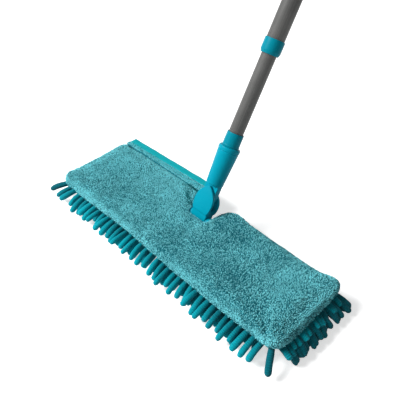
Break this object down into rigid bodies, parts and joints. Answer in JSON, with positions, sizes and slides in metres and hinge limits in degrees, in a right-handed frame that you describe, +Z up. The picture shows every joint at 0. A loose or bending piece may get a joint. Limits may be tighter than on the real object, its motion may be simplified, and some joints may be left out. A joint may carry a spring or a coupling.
{
  "type": "flat mop",
  "caption": "Flat mop with a padded terry cover over chenille fingers, a fork that lets the head flip and swing, and a telescopic twist-lock pole.",
  "frame": {"origin": "on the floor under the middle of the cover, at the flat end of the finger there", "axes": "+X along the head to the right as seen from the front, +Y to the rear where the notch and the fork are, +Z up from the floor"},
  "size_m": [0.475, 0.573, 0.787],
  "materials": {
    "terry": "short terry pile, mottled turquoise",
    "chenille": "chenille fingers, turquoise",
    "tape": "smooth woven tape",
    "grip_tape": "hook tape",
    "foam": "open foam",
    "plastic": "moulded, satin",
    "board": "moulded, plain",
    "grip": "soft, ribbed",
    "tube": "grey anodised, satin",
    "steel": "plain",
    "lock_dark": "moulded",
    "lock_pale": "moulded"
  },
  "bodies": {
    "mop_head": {"frame_board": "board", "hinge_axle": "steel", "foam_liner": "foam", "terry_cover": "terry", "chenille_left": "chenille", "chenille_centre": "chenille", "chenille_right": "chenille", "notch_facing": "chenille", "opening_hem": "terry", "binding_tape": "tape", "hem_grip_tape": "grip_tape"},
    "yoke": {"yoke": "plastic", "swing_pin": "steel"},
    "lower_pole": {"pole_socket": "plastic", "ferrule": "plastic", "tube_rivet": "steel", "lower_tube": "tube", "lock_stem": "lock_dark", "lock_keeper": "steel"},
    "pole_lock": {"lock_sleeve": "lock_pale"},
    "upper_pole": {"upper_tube": "tube", "lock_collar": "plastic", "collar_bush": "lock_pale", "hand_grip": "grip", "end_cap": "plastic"}
  },
  "joints": [
    {"name": "head_tilt", "type": "hinge", "parent": "mop_head", "child": "yoke", "pos_m": [0, 0.0294, 0.0338], "axis": [1, 0, 0], "range_deg": [-148, 30]},
    {"name": "pole_swing", "type": "hinge", "parent": "yoke", "child": "lower_pole", "pos_m": [0, 0.04425, 0.05871], "axis": [0, 0.859, -0.512], "range_deg": [-45, 45]},
    {"name": "pole_twist", "type": "hinge", "parent": "lower_pole", "child": "pole_lock", "pos_m": [0, 0.38271, 0.62648], "axis": [0, 0.512, 0.859], "range_deg": [0, 120]},
    {"name": "pole_slide", "type": "slide", "parent": "pole_lock", "child": "upper_pole", "axis": [0, 0.512, 0.859], "range_m": [-0.11, 0.395]}
  ]
}
